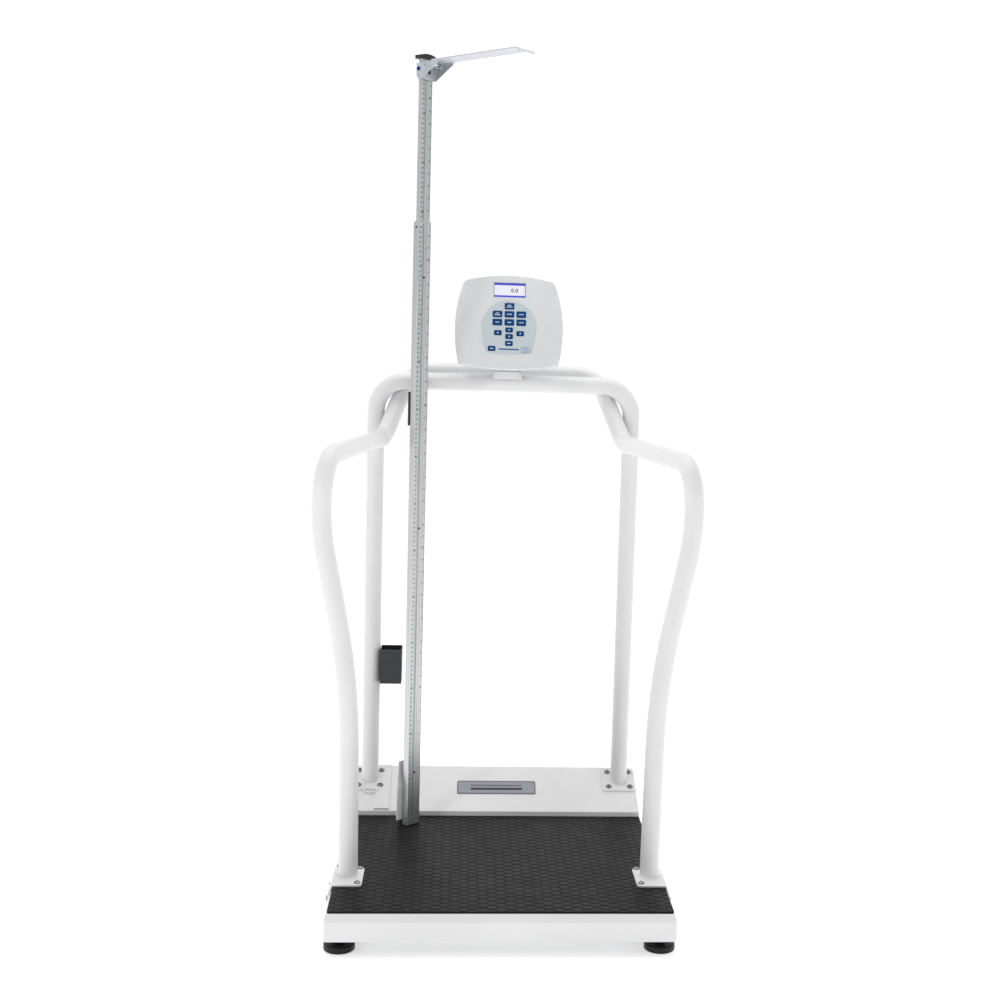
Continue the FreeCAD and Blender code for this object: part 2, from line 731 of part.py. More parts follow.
def rod_clamp():
    """Black clamp: a plate on the rod's back, a ribbed arm, and a split ring round the top bar."""
    back = ROD_T + 0.3
    centre_x = ROD_AT.x - 10.0
    x0, x1 = centre_x - 13.0, centre_x + 13.0
    ring_r = TUBE_R + 3.4
    arm_top = BAR_Z - TUBE_R - 0.4
    plate = on_rod(box(-20, 20, back, back + 4, CLAMP_LOW, arm_top))
    arm = box(x0, x1, ROD_AT.y, POST_Y, arm_top - 6.0, arm_top)
    rib = prism([Vector(centre_x - 3, ROD_AT.y, CLAMP_LOW + 4), Vector(centre_x - 3, POST_Y - 40, arm_top - 5),
                 Vector(centre_x - 3, ROD_AT.y, arm_top - 5)], Vector(6, 0, 0))
    ring = cylinder(ring_r, Vector(x0, POST_Y, BAR_Z), Vector(x1, POST_Y, BAR_Z))
    lugs = box(x0, x1, POST_Y - ring_r - 12.0, POST_Y, BAR_Z - 5.0, BAR_Z + 5.0)
    clamp = joined(plate, arm, rib, ring, lugs)
    clamp = clamp.cut(cylinder(TUBE_R + 0.4, Vector(x0 - 5, POST_Y, BAR_Z), Vector(x1 + 5, POST_Y, BAR_Z)))
    clamp = clamp.cut(box(x0 - 5, x1 + 5, POST_Y - 2 * ring_r, POST_Y - TUBE_R, BAR_Z - 0.8, BAR_Z + 0.8))
    bolt_y = POST_Y - ring_r - 6.0
    clamp = clamp.cut(cylinder(2.6, Vector(centre_x, bolt_y, BAR_Z - 8), Vector(centre_x, bolt_y, BAR_Z + 8)))
    return clamp.cut(on_rod(box(-80, 80, -80, back, CLAMP_LOW - 20, BAR_Z + 60)))


# ---------------------------------------------------------------- adapter pocket

def adapter_pocket():
    """Open-topped sheet pocket for the mains adapter, with a slot in its right side."""
    x0 = -POST_X + TUBE_R + 0.3
    x1 = x0 + 48.0
    y0, y1, z0, z1 = 275.0, 331.0, 382.0, 459.0
    t = 1.6
    pocket = box(x0, x1, y0, y1, z0, z1).cut(box(x0 + t, x1 - t, y0 + t, y1 - t, z0 + t, z1 + 1))
    slot = box(x1 - 3, x1 + 3, y0 + 18, y1 - 18, z0 + 22, z1 + 1)
    return pocket.cut(slot)


# ---------------------------------------------------------------- display head

def on_display(shape):
    return moved(shape, DISPLAY_AT, Vector(1, 0, 0), -DISPLAY_TILT)


def display_outline(inset, y):
    """Bowed outline of the head, drawn at depth y."""
    top_x, side_x, low_x = 99.0 - inset, 118.0 - inset, 109.0 - inset
    top_z, crown_z = 95.0 - inset, 109.0 - inset
    low_z, sole_z = -92.0 + inset, -104.0 + inset

    def p(x, z):
        return Vector(x, y, z)

    arcs = [Part.Arc(p(-top_x, top_z), p(0, crown_z), p(top_x, top_z)),
            Part.Arc(p(top_x, top_z), p(side_x, -12), p(low_x, low_z)),
            Part.Arc(p(low_x, low_z), p(0, sole_z), p(-low_x, low_z)),
            Part.Arc(p(-low_x, low_z), p(-side_x, -12), p(-top_x, top_z))]
    return Part.Wire([arc.toShape() for arc in arcs])


def chin_cutter(inset):
    """What lies in front of the chin, which falls back below a bowed crease."""
    side_z, middle_z, far = CREASE_SIDE + inset, CREASE_MIDDLE + inset, 200.0
    crease = Part.Arc(Vector(-far, -1, side_z + 16), Vector(0, -1, middle_z), Vector(far, -1, side_z + 16))
    edges = [crease.toShape(),
             Part.LineSegment(Vector(far, -1, side_z + 16), Vector(far, -1, -far)).toShape(),
             Part.LineSegment(Vector(far, -1, -far), Vector(-far, -1, -far)).toShape(),
             Part.LineSegment(Vector(-far, -1, -far), Vector(-far, -1, side_z + 16)).toShape()]
    return Part.Face(Part.Wire(edges)).extrude(CHIN_FALL * 2.2)


def display_block(inset, y0, y1):
    body = Part.Face(display_outline(inset, y0)).extrude(Vector(0, y1 - y0, 0))
    corners = upright_edges(body, Vector(0, 1, 0))
    body = body.makeFillet(13.0 - inset, corners)
    return body.cut(moved(chin_cutter(inset), Vector(0, inset, 0)))


def key_layout():
    """Key name, centre x, centre z, width, height."""
    big_w, big_h = 20.8, 14.6
    arrow_w, arrow_h = 16.3, 11.2
    column, row, middle = 26.0, 18.8, -1.6
    keys = [("key_units", 0.3, middle + 2 * row, big_w, big_h)]
    for k, name in enumerate(("key_weigh", "key_hold", "key_zero")):
        keys.append((name, (k - 1) * column + 0.3, middle + row, big_w, big_h))
    for k, name in enumerate(("key_recall", "key_index", "key_print")):
        keys.append((name, (k - 1) * column + 0.3, middle, big_w, big_h))
    keys += [("key_up", 0.2, -19.0, arrow_w, arrow_h),
             ("key_left", -24.3, -26.0, arrow_w, arrow_h),
             ("key_right", 24.3, -26.8, arrow_w, arrow_h),
             ("key_down", 0.2, -34.2, arrow_w, arrow_h),
             ("key_enter", 0.0, -50.0, arrow_w, arrow_h),
             ("key_clear", -37.2, -62.6, arrow_w, arrow_h),
             ("key_power", 36.4, -63.6, 19.0, 14.0)]
    return keys


def overlay_form(inset, y0, y1):
    """Round above, with sides that draw in to a bowed foot."""
    wide, low_x = 60.0 - inset, 50.0 - inset
    waist_z, crown_z = -14.0, 48.5 - inset
    low_z, foot_z = -71.0 + inset, -74.5 + inset

    def p(x, z):
        return Vector(x, y0, z)

    arcs = [Part.Arc(p(-wide, waist_z), p(0, crown_z), p(wide, waist_z)),
            Part.Arc(p(wide, waist_z), p((wide + low_x) / 2 + 0.8, -43.0), p(low_x, low_z)),
            Part.Arc(p(low_x, low_z), p(0, foot_z), p(-low_x, low_z)),
            Part.Arc(p(-low_x, low_z), p(-(wide + low_x) / 2 - 0.8, -43.0), p(-wide, waist_z))]
    wire = Part.Wire([arc.toShape() for arc in arcs])
    body = Part.Face(wire).extrude(Vector(0, y1 - y0, 0))
    corners = [e for e in upright_edges(body, Vector(0, 1, 0)) if e.Vertexes[0].Point.z < -60]
    return body.makeFillet(3.0, corners)


def display_front_housing():
    outer = display_block(0, 0, FRONT_D)
    rim = []
    for edge in outer.Edges:
        points = [v.Point for v in edge.Vertexes]
        middle = edge.valueAt((edge.FirstParameter + edge.LastParameter) / 2)
        if all(abs(p.y) < 0.01 for p in points) and middle.z > CREASE_SIDE:
            rim.append(edge)
    outer = outer.makeFillet(3.0, rim)
    shell = outer.cut(display_block(SHELL_T, SHELL_T, FRONT_D + 1))
    shell = shell.cut(overlay_form(-0.2, -1.0, 0.5))
    shell = shell.cut(box(LCD[0], LCD[1], -1, 5, LCD[2], LCD[3]))
    for name, x, z, width, height in key_layout():
        shell = shell.cut(box(x - width / 2 - 1, x + width / 2 + 1, -1, 5, z - height / 2 - 1, z + height / 2 + 1))
    return on_display(shell)


def display_rear_housing():
    y0 = FRONT_D + 0.2
    y1 = FRONT_D + REAR_D
    outer = Part.makeLoft([display_outline(0.6, y0), display_outline(16.0, y1)], True, True)
    inner = Part.makeLoft([display_outline(0.6 + SHELL_T, y0 - 0.1), display_outline(16.0 + SHELL_T, y1 - SHELL_T)], True, True)
    shell = outer.cut(inner)
    lug_half = 28.6
    barrel = cylinder(11.0, PIVOT - Vector(lug_half, 0, 0), PIVOT + Vector(lug_half, 0, 0))
    root = box(-lug_half, lug_half, y1 - 2.0, PIVOT.y, PIVOT.z - 11, PIVOT.z + 11)
    body = joined(shell, barrel, root)
    for side in (-1, 1):
        bore_end = PIVOT + Vector(side * (lug_half + 1), 0, 0)
        bore_start = PIVOT + Vector(side * 10.0, 0, 0)
        body = body.cut(cylinder(4.05, bore_start, bore_end))
    return on_display(body)


def lcd_window():
    pane = box(LCD[0] + 0.15, LCD[1] - 0.15, 0.3, 1.8, LCD[2] + 0.15, LCD[3] - 0.15)
    return on_display(pane)


def lcd_module():
    glass = box(LCD[0] - 6, LCD[1] + 6, 3.4, 7.5, LCD[2] - 5, LCD[3] + 3)
    board = box(LCD[0] - 9, LCD[1] + 9, 7.5, 9.1, LCD[2] - 7, LCD[3] + 5)
    return on_display(joined(glass, board))


def display_board():
    board = box(-85, 85, 13.0, 14.6, -70, 50)
    chips = [box(x, x + w, 14.6, 17.0, z, z + h) for x, z, w, h in ((-20, -10, 24, 24), (30, 10, 16, 10), (-60, 0, 14, 20))]
    pads = [box(x - 3, x + 3, 3.3, 13.0, z - 3, z + 3) for x in (-80, 80) for z in (-64, 44)]
    sockets = [box(x, x + 20, 14.6, 22.0, -66, -58) for x in (-50, -10, 30)]
    return on_display(joined(board, *chips, *pads, *sockets))


def keypad_overlay():
    sheet = overlay_form(0, 0.5 - OVERLAY_T, 0.5)
    for name, x, z, width, height in key_layout():
        sheet = sheet.cut(key_form(x, z, width + 2 * KEY_GAP, height + 2 * KEY_GAP, -3, 3, 2.4))
    return on_display(sheet)


def key_form(x, z, width, height, y0, y1, radius):
    cap = rounded_box(width, height, y1 - y0, radius)
    return moved(cap, Vector(x, y1, z), Vector(1, 0, 0), 90.0)


def key_cap(x, z, width, height):
    front = 0.5 - OVERLAY_T - KEY_PROUD
    return on_display(key_form(x, z, width, height, front, 1.6, 2.2))


def display_bracket():
    """Channel that straddles the two top bars and carries the tilt bolts in its cheeks."""
    half, t, x = 32.0, 3.0, DISPLAY_AT.x
    front = POST_Y - TUBE_R - 0.4
    rear_top = RAIL_Z + TUBE_R + 0.4
    rear = RAIL_Y + 17.0
    low, bend = 1070.0, 1086.0
    profile = [Vector(x - half, front, low), Vector(x - half, front, bend - 1),
               Vector(x - half, RAIL_Y - 22, rear_top), Vector(x - half, rear, rear_top),
               Vector(x - half, rear, rear_top + t), Vector(x - half, RAIL_Y - 23, rear_top + t),
               Vector(x - half, front - t, bend + 1), Vector(x - half, front - t, low)]
    pieces = [prism(profile, Vector(2 * half, 0, 0))]
    pivot = on_display_point(PIVOT)
    cheek_line = [Vector(0, front, low), Vector(0, front - 9.0, low + 1.5), Vector(0, front - 9.0, bend - 5),
                  Vector(0, front - t, bend + 3), Vector(0, front + 6.0, 1100.0),
                  Vector(0, pivot.y - 10.5, pivot.z + 1), Vector(0, pivot.y + 10.5, pivot.z + 1),
                  Vector(0, RAIL_Y - 22, rear_top + t), Vector(0, RAIL_Y - 22, rear_top), Vector(0, front, bend - 1)]
    for side in (-1, 1):
        x0 = x + side * half - (t if side > 0 else 0)
        cheek = prism([p + Vector(x0, 0, 0) for p in cheek_line], Vector(t, 0, 0))
        eye = cylinder(10.5, Vector(x0, pivot.y, pivot.z), Vector(x0 + t, pivot.y, pivot.z))
        pieces += [cheek, eye]
    body = joined(*pieces)
    return body.cut(cylinder(4.1, Vector(x - 60, pivot.y, pivot.z), Vector(x + 60, pivot.y, pivot.z)))


def on_display_point(point):
    return Rotation(Vector(1, 0, 0), -DISPLAY_TILT).multVec(point) + DISPLAY_AT


def display_tilt_bolts():
    """Two knurled bolts through the cheeks into the head's lug."""
    pivot = on_display_point(PIVOT)
    bolts = []
    for side in (-1, 1):
        start = pivot + Vector(side * 12.0, 0, 0)
        seat = pivot + Vector(side * 32.2, 0, 0)
        end = seat + Vector(side * 9.0, 0, 0)
        shank = cylinder(4.0, start, seat)
        knob = cylinder(10.0, seat, end)
        rim = [e for e in knob.Edges if isinstance(e.Curve, Part.Circle)]
        bolts.append(joined(shank, knob.makeFillet(1.5, rim)))
    return bolts


# ---------------------------------------------------------------- build

def build():
    os.makedirs(PARTS, exist_ok=True)
    save("platform_cover", platform_cover())
    save("rubber_mat", rubber_mat())
    save("rear_deck", rear_deck())
    save("badge_plate", badge_plate())
    save("platform_frame", platform_frame())
    save("load_cells", *load_cells())
    save("foot_locknuts", *foot_locknuts())
    corners = ("rear_left", "rear_right", "front_left", "front_right")
    places = [Vector(sx * FOOT_X, sy * FOOT_Y, 0) for sy in (1, -1) for sx in (-1, 1)]
    for corner, place in zip(corners, places):
        save("levelling_foot_" + corner, moved(levelling_foot(), place))
        save("foot_stud_" + corner, moved(foot_stud(), place))

    save("rear_frame_tube", rear_frame_tube())
    save("rear_flange_left", rear_flange(-POST_X))
    save("rear_flange_right", rear_flange(POST_X))
    save("flange_screws", *flange_screws())
    save("handrail_tube", handrail_tube())
    save("front_bracket_right", front_bracket())
    save("front_bracket_left", mirrored(front_bracket()))
    save("bracket_screws", *bracket_screws())

    save("rod_foot_bracket", rod_foot_bracket())
    save("rod_clamp", rod_clamp())
    save("rod_outer", rod_outer_drilled())
    save("rod_screws", *rod_screws())
    save("rod_foot_plug", rod_foot_plug())
    save("rod_inner", rod_inner())
    save("rod_slide_shoe", rod_slide_shoe())
    save("rod_end_cap", rod_end_cap())
    save("headpiece_bracket", headpiece_bracket())
    save("headpiece_screws", *headpiece_screws())
    save("headpiece_pin", headpiece_pin())
    save("headpiece_holder", headpiece_holder())
    save("headpiece_blade", headpiece_blade())
    save("blade_rivets", *blade_rivets())

    save("adapter_pocket", adapter_pocket())

    save("display_bracket", display_bracket())
    save("display_tilt_bolts", *display_tilt_bolts())
    save("display_front_housing", display_front_housing())
    save("display_rear_housing", display_rear_housing())
    save("lcd_window", lcd_window())
    save("lcd_module", lcd_module())
    save("display_board", display_board())
    save("keypad_overlay", keypad_overlay())
    for name, x, z, width, height in key_layout():
        save(name, key_cap(x, z, width, height))


build()
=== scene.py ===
"""Looks for the platform scale: materials, printed marks, tread, welds, light and camera."""
import json
import math

import bpy
from mathutils import Matrix, Vector


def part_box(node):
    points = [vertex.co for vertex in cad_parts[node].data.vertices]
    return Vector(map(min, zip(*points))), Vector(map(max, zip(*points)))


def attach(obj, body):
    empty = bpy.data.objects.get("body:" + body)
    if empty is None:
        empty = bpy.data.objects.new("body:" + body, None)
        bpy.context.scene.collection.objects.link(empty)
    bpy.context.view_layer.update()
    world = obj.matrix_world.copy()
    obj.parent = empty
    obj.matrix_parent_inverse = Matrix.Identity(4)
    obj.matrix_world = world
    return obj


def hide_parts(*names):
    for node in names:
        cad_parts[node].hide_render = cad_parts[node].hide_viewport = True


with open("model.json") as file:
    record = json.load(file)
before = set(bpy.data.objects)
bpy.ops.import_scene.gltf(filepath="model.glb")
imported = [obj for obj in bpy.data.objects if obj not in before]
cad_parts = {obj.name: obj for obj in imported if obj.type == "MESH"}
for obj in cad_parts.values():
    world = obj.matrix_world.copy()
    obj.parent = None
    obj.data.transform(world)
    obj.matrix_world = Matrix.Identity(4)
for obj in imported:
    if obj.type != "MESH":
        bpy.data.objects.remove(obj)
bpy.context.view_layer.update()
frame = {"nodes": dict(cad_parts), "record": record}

MM = 0.001
PRINT_LIFT = 0.06 * MM


# ---------------------------------------------------------------- frames of reference

def mid(node):
    low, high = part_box(node)
    return (low + high) / 2


def place_frame(origin, x_axis, y_axis, z_axis):
    """Matrix from a local frame in metres to the row frame."""
    turn = Matrix((x_axis, y_axis, z_axis)).transposed().to_4x4()
    return Matrix.Translation(origin) @ turn


def joint(name):
    return next(j for j in frame["record"]["behaviour"]["joints"] if j["name"] == name)


ROD_W = 36 * MM
ROD_T = 16 * MM
INNER_W = 31 * MM
INNER_BACK = 1.8 * MM
HALF_TURN = math.sqrt(0.5)


def rod_frame():
    """x across the scale's face, y into it, z up; the origin is at floor level."""
    centre = mid("rod_outer")
    into = Vector((-HALF_TURN, HALF_TURN, 0))
    across = Vector((HALF_TURN, HALF_TURN, 0))
    origin = Vector((centre.x, centre.y, 0)) - into * (ROD_T / 2)
    return place_frame(origin, across, into, Vector((0, 0, 1)))


DISPLAY_TILT = math.radians(20)
PIVOT_IN_HEAD = Vector((0, 74, -30)) * MM


def head_frame():
    """x across the display's face, y into it, z up it."""
    into = Vector((0, math.cos(DISPLAY_TILT), -math.sin(DISPLAY_TILT)))
    up = Vector((0, math.sin(DISPLAY_TILT), math.cos(DISPLAY_TILT)))
    pivot = Vector(joint("display_tilt")["pos_m"])
    origin = pivot - into * PIVOT_IN_HEAD.y - up * PIVOT_IN_HEAD.z
    return place_frame(origin, Vector((1, 0, 0)), into, up)


DECK_SLOPE = math.radians(25.3)


def deck_frame(node, lift):
    """x to the right, y up the slope, z out of it, at a node's middle on the deck."""
    up_slope = Vector((0, math.cos(DECK_SLOPE), math.sin(DECK_SLOPE)))
    out = Vector((0, -math.sin(DECK_SLOPE), math.cos(DECK_SLOPE)))
    return place_frame(mid(node) + out * lift, Vector((1, 0, 0)), up_slope, out)


# ---------------------------------------------------------------- mesh helpers

def make_piece(name, verts, faces, body, material, matrix=None, smooth=False):
    mesh = bpy.data.meshes.new(name)
    if matrix is not None:
        verts = [matrix @ Vector(v) for v in verts]
    mesh.from_pydata([tuple(v) for v in verts], [], faces)
    mesh.validate()
    mesh.update()
    if smooth:
        mesh.shade_smooth()
    piece = bpy.data.objects.new(name, mesh)
    bpy.context.scene.collection.objects.link(piece)
    mesh.materials.append(material)
    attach(piece, body)
    return piece


class Plates:
    """Collects thin flat-sided plates, such as printed marks, into one mesh."""

    def __init__(self, thickness):
        self.verts = []
        self.faces = []
        self.thickness = thickness

    def add(self, outline, plane):
        """outline is a list of 2-D points; plane turns a point and a lift into 3-D."""
        start = len(self.verts)
        n = len(outline)
        for lift in (0.0, self.thickness):
            self.verts += [plane(u, v, lift) for u, v in outline]
        self.faces.append(tuple(range(start + n, start + 2 * n)))
        for k in range(n):
            after = (k + 1) % n
            self.faces.append((start + k, start + after, start + n + after, start + n + k))

    def bar(self, u0, u1, v0, v1, plane):
        self.add([(u0, v0), (u1, v0), (u1, v1), (u0, v1)], plane)

    def piece(self, name, body, slot, material, matrix):
        return make_piece(name, self.verts, self.faces, body, material, matrix)


SEGMENTS = {"0": "abcdef", "1": "bc", "2": "abged", "3": "abgcd", "4": "fgbc",
            "5": "afgcd", "6": "afgedc", "7": "abc", "8": "abcdefg", "9": "abcdfg"}
PEN_SHARE = 0.19
WIDTH_SHARE = 0.55
ADVANCE = 1.35


def digit(plates, char, u, v, height, plane):
    """One numeral from bars, its lower left corner at (u, v). Returns its width."""
    width = height * WIDTH_SHARE
    pen = height * PEN_SHARE
    middle = height / 2
    bars = {"a": (0, width, height - pen, height),
            "b": (width - pen, width, middle, height),
            "c": (width - pen, width, 0, middle),
            "d": (0, width, 0, pen),
            "e": (0, pen, 0, middle),
            "f": (0, pen, middle, height),
            "g": (0, width, middle - pen / 2, middle + pen / 2)}
    for key in SEGMENTS[char]:
        u0, u1, v0, v1 = bars[key]
        plates.bar(u + u0, u + u1, v + v0, v + v1, plane)
    return width * ADVANCE


def oval(plates, centre, width, height, pen, plane, steps=24):
    """A round zero, as a closed band."""
    def rim(half_u, half_v):
        return [(centre[0] + half_u * math.cos(2 * math.pi * k / steps),
                 centre[1] + half_v * math.sin(2 * math.pi * k / steps)) for k in range(steps)]

    outer = rim(width / 2, height / 2)
    inner = rim(width / 2 - pen, height / 2 - pen)
    for k in range(steps):
        plates.add([outer[k - 1], outer[k], inner[k], inner[k - 1]], plane)


def number(plates, value, u, v, height, plane):
    """A whole number, its first numeral's lower left corner at (u, v)."""
    for char in str(value):
        u += digit(plates, char, u, v, height, plane)


def rounded_outline(width, height, radius, steps=6, centre=(0, 0)):
    """A rectangle with rounded corners, drawn anticlockwise."""
    points = []
    for k, (sx, sy) in enumerate(((1, 1), (-1, 1), (-1, -1), (1, -1))):
        for i in range(steps + 1):
            angle = math.pi / 2 * (k + i / steps)
            u = centre[0] + sx * (width / 2 - radius) + radius * math.cos(angle)
            v = centre[1] + sy * (height / 2 - radius) + radius * math.sin(angle)
            points.append((u, v))
    return points


def frame_ring(plates, width, height, radius, pen, plane, centre=(0, 0)):
    """A rounded frame drawn as a closed band."""
    outer = rounded_outline(width, height, radius, centre=centre)
    inner_radius = max(radius - pen, 0.1 * MM)
    inner = rounded_outline(width - 2 * pen, height - 2 * pen, inner_radius, centre=centre)
    n = len(outer)
    for k in range(n):
        after = (k + 1) % n
        plates.add([outer[k], outer[after], inner[after], inner[k]], plane)


# ---------------------------------------------------------------- materials

class Shader:
    """A node material under construction."""

    def __init__(self, name, color, roughness, metallic=0.0):
        self.material = bpy.data.materials.new(name)
        self.material.use_nodes = True
        self.tree = self.material.node_tree
        self.bsdf = self.tree.nodes["Principled BSDF"]
        self.bsdf.inputs["Base Color"].default_value = (*color, 1)
        self.bsdf.inputs["Roughness"].default_value = roughness
        self.bsdf.inputs["Metallic"].default_value = metallic
        self.coords = self.tree.nodes.new("ShaderNodeTexCoord").outputs["Object"]
        self.height = None

    def link(self, source, target):
        self.tree.links.new(source, target)

    def stretched(self, scale):
        mapping = self.tree.nodes.new("ShaderNodeMapping")
        mapping.inputs["Scale"].default_value = scale
        self.link(self.coords, mapping.inputs["Vector"])
        return mapping.outputs["Vector"]

    def noise(self, scale, detail=2.0, stretch=(1, 1, 1)):
        node = self.tree.nodes.new("ShaderNodeTexNoise")
        node.inputs["Scale"].default_value = scale
        node.inputs["Detail"].default_value = detail
        self.link(self.stretched(stretch), node.inputs["Vector"])
        return node.outputs["Fac"]

    def ramp(self, value, low, high, at=(0.3, 0.7)):
        """Colours from low to high as the value rises."""
        node = self.tree.nodes.new("ShaderNodeValToRGB")
        node.color_ramp.elements[0].position = at[0]
        node.color_ramp.elements[1].position = at[1]
        node.color_ramp.elements[0].color = (*low, 1)
        node.color_ramp.elements[1].color = (*high, 1)
        self.link(value, node.inputs["Fac"])
        return node.outputs["Color"]

    def tint(self, value, low, high, at=(0.3, 0.7)):
        self.link(self.ramp(value, low, high, at), self.bsdf.inputs["Base Color"])

    def vary_roughness(self, value, low, high):
        node = self.tree.nodes.new("ShaderNodeMapRange")
        node.inputs["To Min"].default_value = low
        node.inputs["To Max"].default_value = high
        self.link(value, node.inputs["Value"])
        self.link(node.outputs["Result"], self.bsdf.inputs["Roughness"])

    def bump(self, value, depth, strength=1.0):
        """depth is the relief in metres."""
        node = self.tree.nodes.new("ShaderNodeBump")
        node.inputs["Strength"].default_value = strength
        node.inputs["Distance"].default_value = depth
        self.link(value, node.inputs["Height"])
        if self.height is not None:
            self.link(self.height, node.inputs["Normal"])
        self.height = node.outputs["Normal"]
        self.link(self.height, self.bsdf.inputs["Normal"])


def scaled(color, factor):
    return tuple(min(1.0, c * factor) for c in color)


def powder_coat(name, color, roughness=0.42):
    """Baked powder paint: a fine orange peel and faint unevenness."""
    s = Shader(name, color, roughness)
    s.bsdf.inputs["Coat Weight"].default_value = 0.15
    s.bsdf.inputs["Coat Roughness"].default_value = 0.25
    broad = s.noise(9.0, 3.0)
    s.tint(broad, scaled(color, 0.97), scaled(color, 1.02))
    s.vary_roughness(s.noise(60.0), roughness - 0.05, roughness + 0.06)
    s.bump(s.noise(900.0, 1.0), 0.03 * MM, 0.6)
    return s.material


def moulded_plastic(name, color, roughness=0.5, grain=1500.0, shine=0.5):
    """Spark-eroded plastic: a tight matte grain."""
    s = Shader(name, color, roughness)
    s.bsdf.inputs["Specular IOR Level"].default_value = shine
    s.tint(s.noise(14.0, 3.0), scaled(color, 0.97), scaled(color, 1.02))
    s.vary_roughness(s.noise(200.0), roughness - 0.06, roughness + 0.06)
    s.bump(s.noise(grain, 2.0), 0.02 * MM, 0.7)
    return s.material


def bright_metal(name, color, roughness=0.22, stretch=(1, 1, 1), grain=500.0):
    s = Shader(name, color, roughness, metallic=1.0)
    streaks = s.noise(grain, 3.0, stretch)
    s.tint(streaks, scaled(color, 0.86), scaled(color, 1.06))
    s.vary_roughness(streaks, roughness - 0.06, roughness + 0.1)
    s.bump(streaks, 0.008 * MM, 0.5)
    return s.material


def drawn_aluminium(name, color):
    """Anodised extrusion with fine lines along its length."""
    s = Shader(name, color, 0.3, metallic=0.9)
    lines = s.noise(700.0, 4.0, (1, 1, 0.006))
    s.tint(lines, scaled(color, 0.8), scaled(color, 1.08))
    s.vary_roughness(s.noise(40.0, 3.0, (1, 1, 0.1)), 0.26, 0.42)
    s.bump(lines, 0.01 * MM, 0.6)
    return s.material


def rubber(name, color, roughness, shine):
    s = Shader(name, color, roughness)
    s.bsdf.inputs["Specular IOR Level"].default_value = shine
    s.tint(s.noise(30.0, 4.0), scaled(color, 0.7), scaled(color, 1.4))
    s.vary_roughness(s.noise(25.0, 3.0), roughness - 0.08, roughness + 0.1)
    s.bump(s.noise(1100.0, 3.0), 0.04 * MM, 0.8)
    return s.material


def clear_window(name):
    s = Shader(name, (0.9, 0.92, 0.95), 0.05)
    s.bsdf.inputs["Alpha"].default_value = 0.04
    s.bsdf.inputs["Specular IOR Level"].default_value = 0.15
    s.bump(s.noise(20.0), 0.004 * MM, 0.2)
    return s.material


def circuit_board(name):
    s = Shader(name, (0.03, 0.18, 0.08), 0.35)
    tracks = s.noise(260.0, 1.0, (1, 0.3, 1))
    s.tint(tracks, (0.02, 0.14, 0.06), (0.05, 0.27, 0.12), (0.48, 0.52))
    s.bump(tracks, 0.03 * MM)
    return s.material


def milky_plastic(name):
    """Translucent blade, faintly lilac."""
    s = Shader(name, (0.66, 0.66, 0.73), 0.3)
    s.bsdf.inputs["Subsurface Weight"].default_value = 0.08
    s.bsdf.inputs["Subsurface Scale"].default_value = 2 * MM
    s.tint(s.noise(12.0, 2.0), (0.50, 0.50, 0.57), (0.57, 0.57, 0.63))
    s.bump(s.noise(120.0), 0.01 * MM, 0.4)
    return s.material


def printed_ink(name, color, roughness=0.5):
    s = Shader(name, color, roughness)
    s.tint(s.noise(400.0, 2.0), scaled(color, 0.85), scaled(color, 1.1))
    s.bump(s.noise(2500.0), 0.005 * MM, 0.4)
    return s.material


def lit_screen(name, color, strength):
    s = Shader(name, color, 0.35)
    s.bsdf.inputs["Emission Color"].default_value = (*color, 1)
    s.bsdf.inputs["Emission Strength"].default_value = strength
    s.tint(s.noise(300.0), scaled(color, 0.97), color)
    return s.material


WHITE_PAINT = (0.76, 0.76, 0.765)
NAVY = (0.003, 0.052, 0.18)

MATERIALS = {
    "powder_coat": powder_coat("white_powder_coat", WHITE_PAINT),
    "frame_paint": powder_coat("grey_frame_paint", (0.22, 0.23, 0.24), 0.5),
    "mat_rubber": rubber("mat_rubber", (0.0045, 0.0045, 0.005), 0.42, 0.12),
    "foot_rubber": rubber("foot_rubber", (0.006, 0.006, 0.0065), 0.4, 0.3),
    "zinc_steel": bright_metal("zinc_plate", (0.55, 0.56, 0.58), 0.3),
    "screw_steel": bright_metal("bright_screw", (0.30, 0.27, 0.24), 0.12),
    "cell_alloy": bright_metal("machined_alloy", (0.62, 0.63, 0.65), 0.3, (0.05, 1, 1)),
    "badge_metal": bright_metal("badge_face", (0.24, 0.25, 0.27), 0.34, (0.03, 1, 1), 900.0),
    "rod_alloy": drawn_aluminium("rod_aluminium", (0.60, 0.62, 0.62)),
    "black_fixings": powder_coat("black_screw", (0.012, 0.012, 0.014), 0.35),
    "black_paint": powder_coat("black_satin_paint", (0.018, 0.019, 0.022), 0.4),
    "black_plastic": moulded_plastic("black_plastic", (0.013, 0.013, 0.014), 0.4),
    "head_paint": bright_metal("plated_sheet", (0.62, 0.65, 0.68), 0.4, (1, 1, 0.2), 160.0),
    "blue_screws": bright_metal("blued_screw", (0.02, 0.05, 0.22), 0.3),
    "blade_plastic": milky_plastic("blade_plastic"),
    "housing_plastic": moulded_plastic("grey_white_housing", (0.66, 0.67, 0.68), 0.45),
    "window_glass": clear_window("window_glass"),
    "lcd": printed_ink("lcd_bezel", (0.10, 0.10, 0.11)),
    "circuit_board": circuit_board("circuit_board"),
    "overlay_film": moulded_plastic("overlay_film", (0.52, 0.58, 0.61), 0.38, 2200.0),
    "key_navy": moulded_plastic("key_navy", NAVY, 0.42, 2200.0, 0.15),
}
INK_DARK = printed_ink("dark_ink", (0.02, 0.02, 0.025))
INK_WHITE = printed_ink("white_ink", (0.78, 0.84, 0.90))
INK_BLUE = printed_ink("blue_ink", (0.02, 0.09, 0.30))
SCREEN_WHITE = lit_screen("screen_white", (0.80, 0.80, 0.88), 0.12)
SCREEN_BLUE = lit_screen("screen_blue", (0.01, 0.015, 0.60), 0.25)
